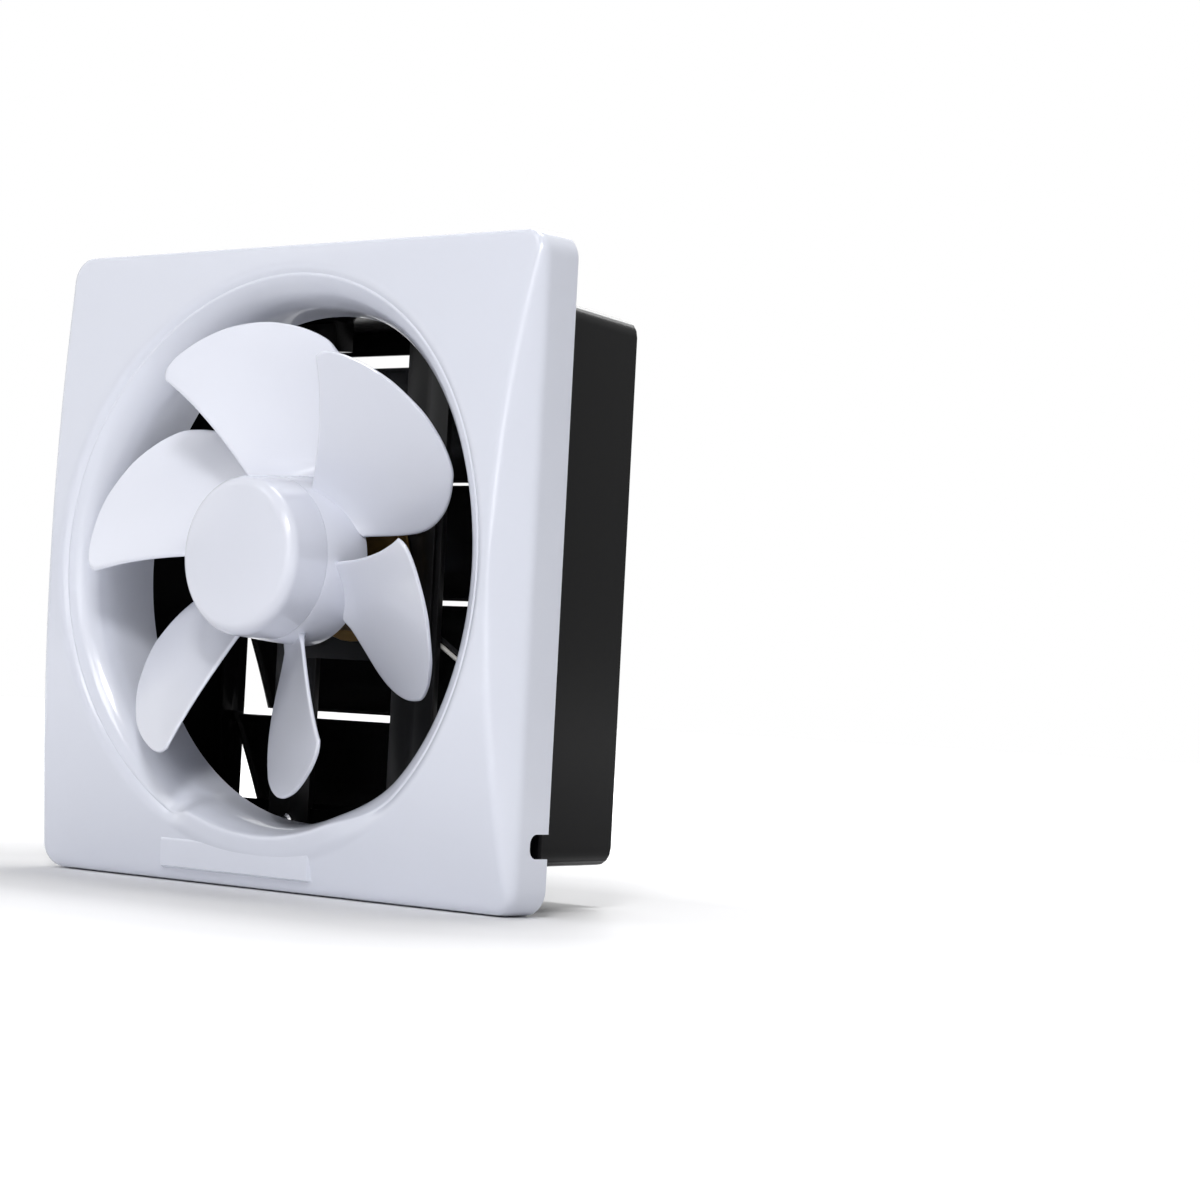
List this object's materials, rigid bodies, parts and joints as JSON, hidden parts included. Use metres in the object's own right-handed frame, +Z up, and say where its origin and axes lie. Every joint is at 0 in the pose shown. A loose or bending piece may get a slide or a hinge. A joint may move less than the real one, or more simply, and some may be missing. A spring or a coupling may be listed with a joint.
{
  "type": "solar ventilation fan",
  "caption": "Square wall fan with a white bell-mouth front panel, an axial impeller on a low-voltage motor and a black duct closed by linked swinging louvers.",
  "frame": {"origin": "bottom centre of the whole fan's bounding box, on the lower edge of the front panel", "axes": "+X to the right seen from the front, +Y to the rear along the impeller's axis, towards the louvers, +Z up; the front faces -Y"},
  "size_m": [0.33, 0.1516, 0.3195],
  "materials": {
    "white_gloss": "glossy white moulded plastic",
    "white_blade": "semi-gloss white moulded plastic",
    "black_gloss": "glossy black moulded plastic",
    "black_satin": "satin black plastic",
    "black_steel": "black painted pressed steel",
    "bronze": "bronze-coloured drawn steel",
    "zinc": "zinc-plated steel",
    "steel": "bright steel",
    "brass": "plain brass",
    "copper": "copper winding on a laminated core",
    "ferrite": "sintered ferrite",
    "carbon": "pressed carbon",
    "lead_white": "insulated wire"
  },
  "bodies": {
    "frame": {"front_panel": "white_gloss", "housing": "black_gloss", "bracket_strap_left": "black_steel", "bracket_strap_right": "black_steel", "motor_plate": "black_steel", "motor_can": "bronze", "motor_end_bell": "zinc", "front_bearing": "brass", "rear_bearing": "brass", "magnet_left": "ferrite", "magnet_right": "ferrite", "brush_left": "carbon", "brush_right": "carbon", "terminal_block": "black_satin", "lead_clip": "brass", "motor_lead_white": "lead_white", "motor_lead_black": "black_satin", "plate_screw_left_bottom": "steel", "plate_screw_left_top": "steel", "plate_screw_right_bottom": "steel", "plate_screw_right_top": "steel", "strap_screw_left_bottom": "steel", "strap_screw_left_top": "steel", "strap_screw_right_bottom": "steel", "strap_screw_right_top": "steel"},
    "rotor": {"impeller": "white_blade", "spinner_cap": "white_blade", "motor_shaft": "steel", "armature_core": "copper", "commutator": "brass"},
    "louver_1": {"louver_1": "black_gloss"},
    "louver_2": {"louver_2": "black_gloss"},
    "louver_3": {"louver_3": "black_gloss"},
    "louver_4": {"louver_4": "black_gloss"},
    "link": {"link_bar": "black_satin"}
  },
  "joints": [
    {"name": "impeller_spin", "type": "hinge", "parent": "frame", "child": "rotor", "pos_m": [0, -0.04069, 0.1634], "axis": [0, 1, 0], "continuous": true},
    {"name": "louver_1_swing", "type": "hinge", "parent": "frame", "child": "louver_1", "pos_m": [0, 0.04931, 0.2666], "axis": [1, 0, 0], "range_deg": [-12, 46]},
    {"name": "louver_2_swing", "type": "hinge", "parent": "frame", "child": "louver_2", "pos_m": [0, 0.04931, 0.2053], "axis": [1, 0, 0], "range_deg": [-12, 46]},
    {"name": "louver_3_swing", "type": "hinge", "parent": "frame", "child": "louver_3", "pos_m": [0, 0.04931, 0.144], "axis": [1, 0, 0], "range_deg": [-12, 46]},
    {"name": "louver_4_swing", "type": "hinge", "parent": "frame", "child": "louver_4", "pos_m": [0, 0.04931, 0.0827], "axis": [1, 0, 0], "range_deg": [-12, 46]},
    {"name": "link_bar_pivot", "type": "hinge", "parent": "louver_1", "child": "link", "pos_m": [0.105, 0.03625, 0.26528], "axis": [1, 0, 0], "range_deg": [-46, 12]}
  ],
  "couplings": [
    {"joint": "louver_2_swing", "follows": "louver_1_swing", "ratio": 1},
    {"joint": "louver_3_swing", "follows": "louver_1_swing", "ratio": 1},
    {"joint": "louver_4_swing", "follows": "louver_1_swing", "ratio": 1},
    {"joint": "link_bar_pivot", "follows": "louver_1_swing", "ratio": -1}
  ]
}
